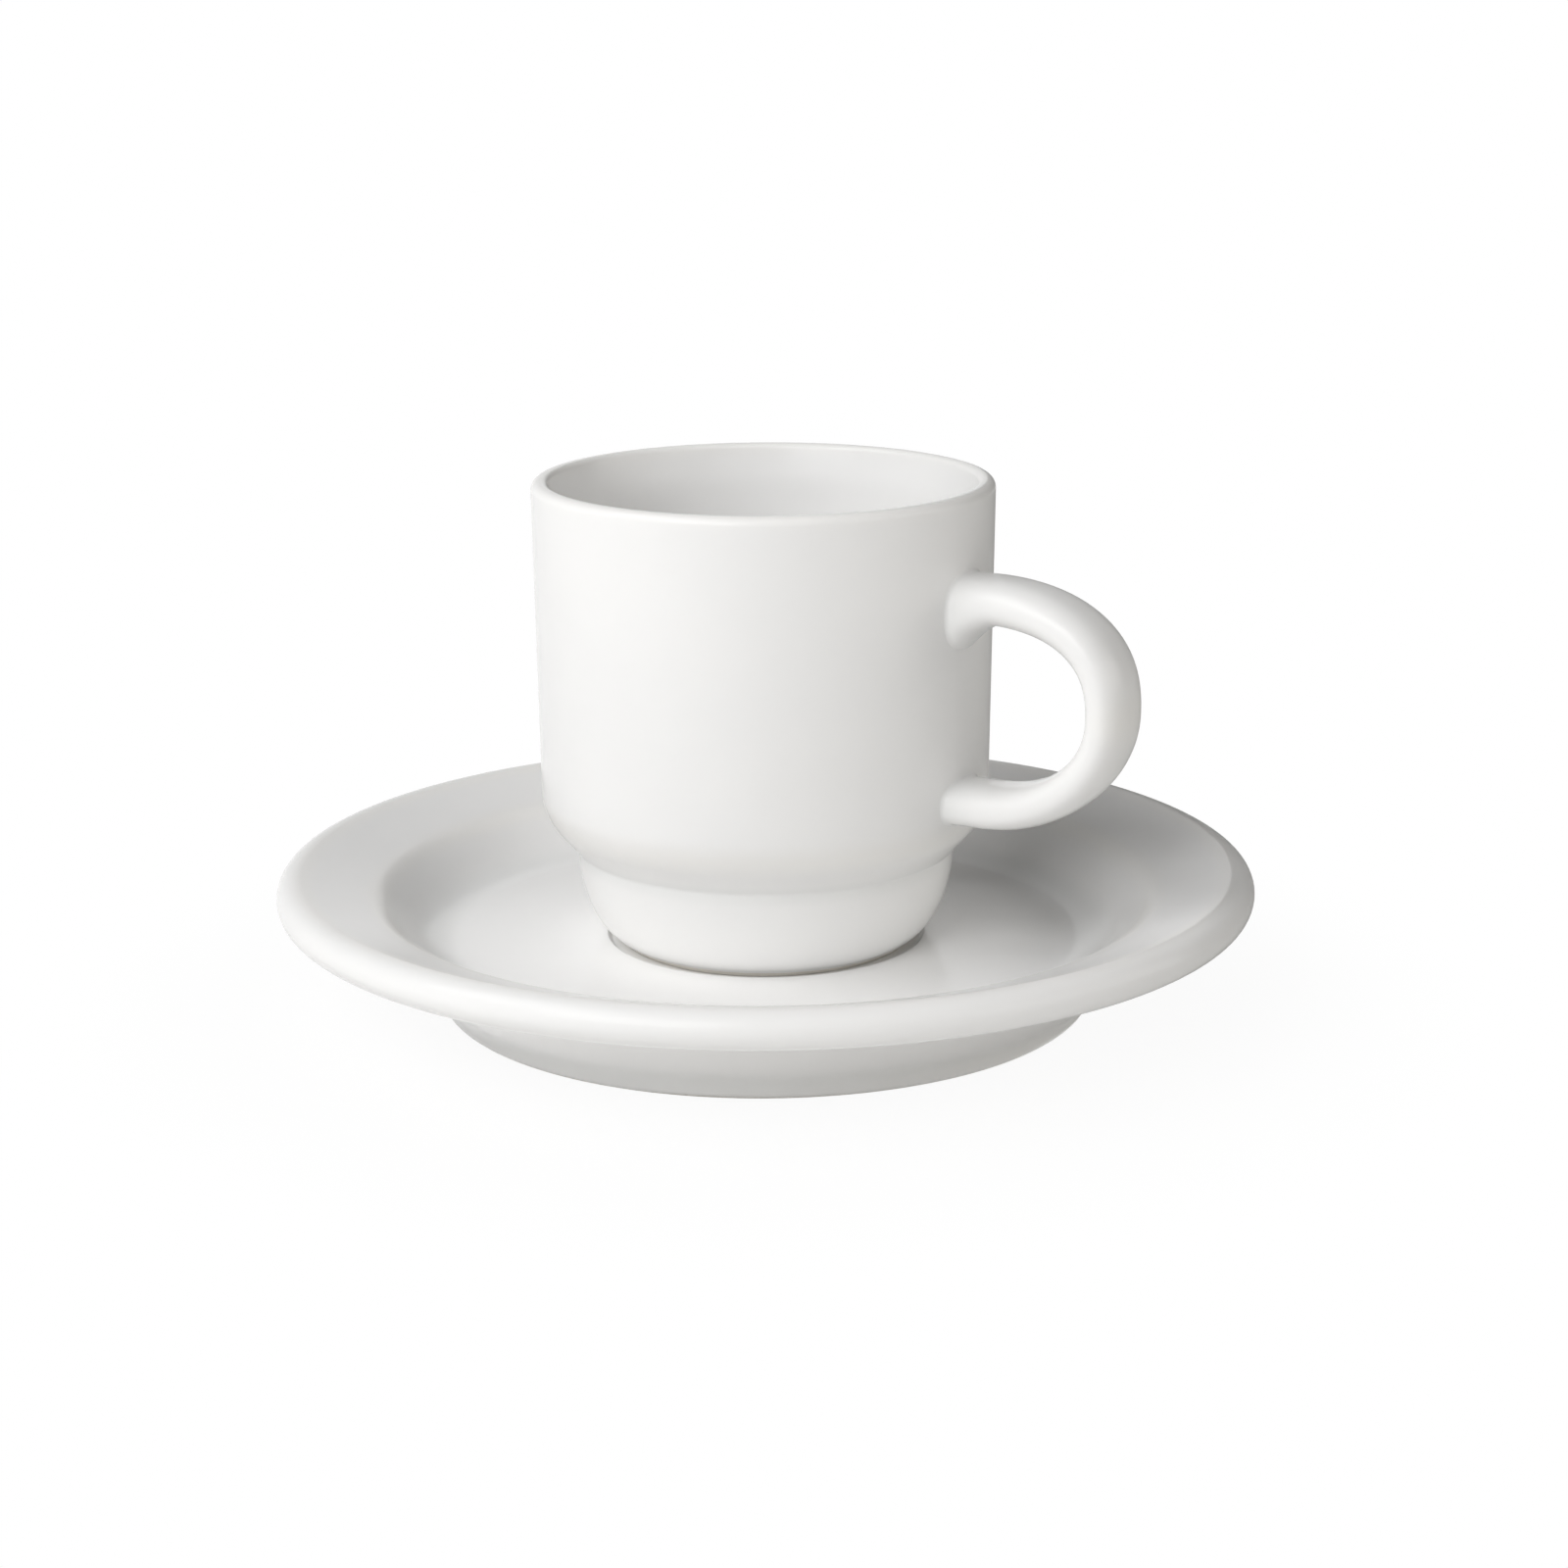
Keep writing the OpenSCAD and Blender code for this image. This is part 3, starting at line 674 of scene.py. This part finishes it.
class ESPRESSO_OT_handle(Operator):
    """Set two root rings on the cup's wall, sweep each to the crown and glaze the loop"""

    bl_idname = "espresso.handle"
    bl_label = "Make the handle"

    def stations(self, size, cup, upper):
        """Rings from a root to the crown.

        A ring is its middle, its direction, the share of the wall's curve that it keeps, half
        its width and half its thickness.
        """
        side = 1 if upper else -1
        radius = cup.diameter / 2
        top = cup.height - size.drop
        arm_z = top if upper else top - size.span
        crown = Vector((radius + size.reach, top - size.crown_drop))
        root = Vector((wall_at(cup, arm_z), arm_z))
        turn = Vector((radius + (size.upper_run if upper else size.lower_run), arm_z))
        power = size.upper_bend if upper else size.lower_bend
        path = [root + (turn - root) * (i / size.arm_rings) ** 2 for i in range(size.arm_rings)]
        for i in range(size.bend_rings + 1):
            a = math.pi / 2 * i / size.bend_rings
            path.append(Vector((
                turn.x + (crown.x - turn.x) * math.sin(a) ** power,
                crown.y + (turn.y - crown.y) * max(0.0, math.cos(a)) ** power)))
        thick = (size.upper_thick if upper else size.lower_thick, size.crown_thick)
        wide = (size.upper_wide if upper else size.lower_wide, size.crown_wide)
        rings = []
        for i, point in enumerate(path):
            if i == 0:
                run = Vector((1, 0))
            elif i == len(path) - 1:
                run = Vector((0, -side))
            else:
                run = (path[i + 1] - path[i - 1]).normalized()
            outwards = side * Vector((-run.y, run.x))
            gap = point.x - root.x
            eased = (1 - math.cos(math.pi * i / (len(path) - 1))) / 2
            half = (thick[0] + (thick[1] - thick[0]) * eased) / 2
            outer_half = half + fillet(gap, size.root_fillet)
            inner_half = half + fillet(gap, size.root_fillet)
            if upper:
                flare = max(0.0, 1 - gap / size.under_reach) ** FLARE_POWER
                inner_half = half + size.under_flare * flare
            middle = point + outwards * (outer_half - inner_half) / 2
            rings.append((
                Vector((middle.x, 0, middle.y + CUP_FOOT.z)), math.atan2(run.y, run.x),
                max(0.0, 1 - gap / size.settle) ** 2,
                (wide[0] + (wide[1] - wide[0]) * eased) / 2 + fillet(gap, size.root_fillet),
                (outer_half + inner_half) / 2))
        return rings

    def root_ring(self, size, ring):
        """Shapes the square in hand into a squared oval that stands before the wall."""
        middle, _, _, half_wide, half_thick = ring
        bpy.ops.mesh.bevel(
            offset_type="OFFSET", offset=1, affect="VERTICES", segments=size.corner_steps,
            profile=size.squareness)
        bpy.ops.mesh.remove_doubles(threshold=MM)
        bpy.ops.transform.resize(
            value=(half_thick, half_wide, 1), center_override=(0, 0, 0))
        bpy.ops.transform.rotate(
            value=math.pi / 2, orient_axis="Y", center_override=(0, 0, 0))
        bpy.ops.transform.translate(value=middle + Vector((size.settle, 0, 0)))
        bpy.ops.mesh.delete(type="ONLY_FACE")

    def sweep(self, rings):
        """Extrudes the selected ring through the others."""
        for last, ring in zip(rings, rings[1:]):
            middle, turn = ring[0], ring[1]
            bpy.ops.mesh.extrude_region_move(
                TRANSFORM_OT_translate={"value": middle - last[0]})
            bpy.ops.transform.rotate(
                value=turn - last[1], orient_axis="Y", center_override=middle)
            scale = [new / old if old else 1 for old, new in zip(last[2:], ring[2:])]
            run = Vector((math.cos(turn), 0, math.sin(turn)))
            axes = Matrix((run, (0, 1, 0), (-run.z, 0, run.x))).transposed()
            bpy.ops.transform.resize(
                value=scale, orient_type="GLOBAL", orient_matrix_type="GLOBAL",
                orient_matrix=axes, center_override=middle)

    def execute(self, context):
        scene = context.scene
        size, cup, look = scene.espresso_handle, scene.espresso_cup, scene.espresso_glaze
        upper, lower = (self.stations(size, cup, side) for side in (True, False))
        piece = new_mesh("handle_glazed")
        self.root_ring(size, upper[0])
        bpy.ops.mesh.select_all(action="DESELECT")
        bpy.ops.mesh.primitive_plane_add(size=2)
        self.root_ring(size, lower[0])
        bpy.ops.object.mode_set(mode="OBJECT")
        wrap = piece.modifiers.new("wall", "SHRINKWRAP")
        wrap.target = bpy.data.objects["cup_glazed"]
        wrap.wrap_method = "PROJECT"
        wrap.use_project_x = True
        wrap.use_positive_direction = False
        wrap.use_negative_direction = True
        bpy.ops.object.modifier_apply(modifier=wrap.name)
        bpy.ops.object.mode_set(mode="EDIT")
        between = (upper[0][0].z + lower[0][0].z) / 2
        sunk = Vector((-size.sunk, 0, 0))
        for rings, above in ((upper, True), (lower, False)):
            select_where(piece, lambda place: (place.z > between) == above)
            bpy.ops.transform.translate(value=sunk)
            rings[0] = (rings[0][0] + sunk, *rings[0][1:])
            self.sweep(rings)
        bpy.ops.mesh.select_all(action="SELECT")
        bpy.ops.mesh.remove_doubles(threshold=TOUCH)
        bpy.ops.mesh.fill_holes(sides=0)
        close_skin(piece)
        # Painted shade, with pooled glaze, at the handle's two roots
        shade_pools = [
            (cup.diameter / 2, rings[0][0].z, look.root_shade_pool) for rings in (upper, lower)]
        crown = upper[-1][0]
        edges = [(crown.x + size.crown_thick / 2, crown.z, look.crown_edge)]
        settle_in(piece, "cup", "cup_handle",
                  glaze("handle_glaze", look, shade_pools, edges, None))
        return {"FINISHED"}


def seen_rays(new):
    """1 for camera, glossy and transmission rays, and 0 for the rest."""
    rays = new.node("ShaderNodeLightPath").socket.node.outputs
    camera, glossy, through = (
        Socket(new.tree, rays[name])
        for name in ("Is Camera Ray", "Is Glossy Ray", "Is Transmission Ray"))
    return new.math("MAXIMUM", camera, new.math("MAXIMUM", glossy, through))


class ESPRESSO_OT_stage(Operator):
    """Set the floor, the grey cards, the surroundings, the lights and the camera"""

    bl_idname = "espresso.stage"
    bl_label = "Set the stage"

    def floor(self, stage):
        """A pale floor that is white to the eye but for the shadow round the object."""
        bpy.ops.object.select_all(action="DESELECT")
        bpy.ops.mesh.primitive_circle_add(
            vertices=FLOOR_STEPS, radius=stage.floor_size, fill_type="NGON", location=(0, 0, 0))
        floor = bpy.context.active_object
        floor.name = "floor"
        material = bpy.data.materials.new("floor_white")
        material.use_nodes = True
        tree = material.node_tree
        tree.nodes.remove(tree.nodes["Principled BSDF"])
        new = Socket(tree)
        place = new.node("ShaderNodeTexCoord", output="Object")
        out = new.node(
            "ShaderNodeVectorMath", {"operation": "LENGTH"}, {0: place}, output="Value")
        shaded = stage.shadow_share * out.ease(
            stage.shadow_reach, SHADOW_CORE * stage.shadow_reach)
        white = new.node("ShaderNodeEmission", None, {"Strength": 1.0})
        matt = new.node("ShaderNodeBsdfDiffuse", None, {"Color": solid(stage.floor_white)})
        mixed = new.node(
            "ShaderNodeMixShader", None,
            {0: seen_rays(new) * (1 - shaded), 1: matt, 2: white})
        new.feed(tree.nodes["Material Output"].inputs["Surface"], mixed)
        floor.data.materials.append(material)

    def card(self, name, place, rotation, size, grey, fade=None):
        """A grey card that only the glaze mirrors, to draw the object's far edges.

        A fade is a direction in which the card comes in, and where along it that starts
        and ends. Without one the card is whole.
        """
        bpy.ops.mesh.primitive_plane_add(size=1, location=place, rotation=rotation)
        card = bpy.context.active_object
        card.name = name
        bpy.ops.transform.resize(value=(*size, 1), orient_type="LOCAL")
        bpy.ops.object.transform_apply(location=True, rotation=True, scale=True)
        material = bpy.data.materials.new(name)
        material.use_nodes = True
        shader = material.node_tree.nodes["Principled BSDF"]
        shader.inputs["Base Color"].default_value = solid([grey] * 3)
        shader.inputs["Roughness"].default_value = CARD_ROUGHNESS
        if fade:
            new = Socket(material.node_tree)
            direction, start, end = fade
            place = new.node("ShaderNodeTexCoord", output="Object")
            along = new.node(
                "ShaderNodeVectorMath", {"operation": "DOT_PRODUCT"},
                {0: place, 1: direction}, output="Value")
            new.feed(shader.inputs["Alpha"], along.ease(start, end))
        card.data.materials.append(material)
        card.visible_camera = False
        card.visible_diffuse = False
        card.visible_shadow = False

    def cards(self, stage):
        """An upright card behind the object and one flat on the floor to its right."""
        away = Vector((math.sin(stage.card_turn), -math.cos(stage.card_turn), 0))
        self.card(
            "upright_card",
            stage.card_distance * away + Vector((0, 0, stage.card_height / 2)),
            (math.pi / 2, 0, stage.card_turn), (stage.card_width, stage.card_height),
            stage.card_grey)
        turn = Matrix.Rotation(stage.camera_turn, 3, "Z")
        inner_edge = stage.flat_right - stage.flat_width / 2
        self.card(
            "flat_card", turn @ Vector((stage.flat_right, stage.flat_back, MM)),
            (0, 0, stage.camera_turn), (stage.flat_width, stage.flat_depth), stage.card_grey,
            (turn @ Vector((1, 0, 0)), inner_edge, inner_edge + stage.flat_fade))

    def surroundings(self, scene, stage):
        """White to the eye, and a plain level of light on the object."""
        world = bpy.data.worlds.new("studio")
        scene.world = world
        world.use_nodes = True
        new = Socket(world.node_tree)
        back = world.node_tree.nodes["Background"]
        back.inputs["Color"].default_value = (1, 1, 1, 1)
        seen = seen_rays(new)
        new.feed(back.inputs["Strength"], stage.ambient + seen * (1 - stage.ambient))

    def light(self, name, stage):
        """A large soft light whose settings start with that name."""
        turn, rise = getattr(stage, name + "_turn"), getattr(stage, name + "_rise")
        toward = Vector((
            math.sin(turn) * math.cos(rise), -math.cos(turn) * math.cos(rise), math.sin(rise)))
        bpy.ops.object.light_add(
            type="AREA", location=toward * stage.light_distance,
            rotation=toward.to_track_quat("Z", "Y").to_euler())
        light = bpy.context.active_object
        light.name = name + "_light"
        light.data.shape = "RECTANGLE"
        light.data.size = getattr(stage, name + "_width")
        light.data.size_y = getattr(stage, name + "_height")
        light.data.energy = getattr(stage, name + "_power")
        light.data.color = getattr(stage, name + "_colour")

    def camera(self, scene, stage):
        """The camera at the photograph's angle."""
        turn = Matrix.Rotation(stage.camera_turn, 3, "Z")
        pitch, yaw, roll = stage.camera_pitch, stage.camera_yaw, stage.camera_roll
        ahead = Vector((
            math.sin(yaw) * math.cos(pitch), math.cos(yaw) * math.cos(pitch), -math.sin(pitch)))
        right = Vector((math.cos(yaw), -math.sin(yaw), 0))
        up = right.cross(ahead)
        rolled_right = math.cos(roll) * right + math.sin(roll) * up
        rolled_up = math.cos(roll) * up - math.sin(roll) * right
        axes = Matrix((rolled_right, rolled_up, -ahead)).transposed()
        bpy.ops.object.camera_add(
            location=turn @ Vector((0, -stage.camera_distance, stage.camera_height)),
            rotation=(turn @ axes).to_euler())
        camera = bpy.context.active_object
        camera.name = "camera"
        camera.data.sensor_width = SENSOR
        camera.data.lens = stage.lens
        camera.data.clip_start = NEAREST
        scene.camera = camera

    def execute(self, context):
        scene = context.scene
        stage = scene.espresso_stage
        scene.view_settings.view_transform = "Standard"
        self.floor(stage)
        self.cards(stage)
        self.surroundings(scene, stage)
        for name in ("key", "side", "fill"):
            self.light(name, stage)
        self.camera(scene, stage)
        return {"FINISHED"}


GROUPS = {
    "espresso_saucer": SaucerSizes,
    "espresso_cup": CupSizes,
    "espresso_handle": HandleSizes,
    "espresso_glaze": GlazeLook,
    "espresso_stage": StageSettings,
}
MAKERS = (ESPRESSO_OT_saucer, ESPRESSO_OT_cup, ESPRESSO_OT_handle, ESPRESSO_OT_stage)


class ESPRESSO_PT_panel(Panel):
    """The pieces and the stage, with what can be changed on them"""

    bl_idname = "ESPRESSO_PT_panel"
    bl_label = "Espresso cup with saucer"
    bl_space_type = "VIEW_3D"
    bl_region_type = "UI"
    bl_category = "Espresso cup"

    def draw(self, context):
        for maker in MAKERS:
            self.layout.operator(maker.bl_idname)
        for name, group in GROUPS.items():
            box = self.layout.box()
            for setting in group.__annotations__:
                box.prop(getattr(context.scene, name), setting)


CLASSES = (*GROUPS.values(), *MAKERS, ESPRESSO_PT_panel)


def register():
    """Adds the classes, and the settings to the scene."""
    for cls in CLASSES:
        bpy.utils.register_class(cls)
    for name, group in GROUPS.items():
        setattr(bpy.types.Scene, name, PointerProperty(type=group))


def unregister():
    """Takes the settings and the classes away again."""
    for name in GROUPS:
        delattr(bpy.types.Scene, name)
    for cls in reversed(CLASSES):
        bpy.utils.unregister_class(cls)


def main():
    """Registers the add-on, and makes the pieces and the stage."""
    register()
    bpy.ops.espresso.saucer()
    bpy.ops.espresso.cup()
    bpy.ops.espresso.handle()
    bpy.ops.espresso.stage()


if __name__ == "__main__":
    main()
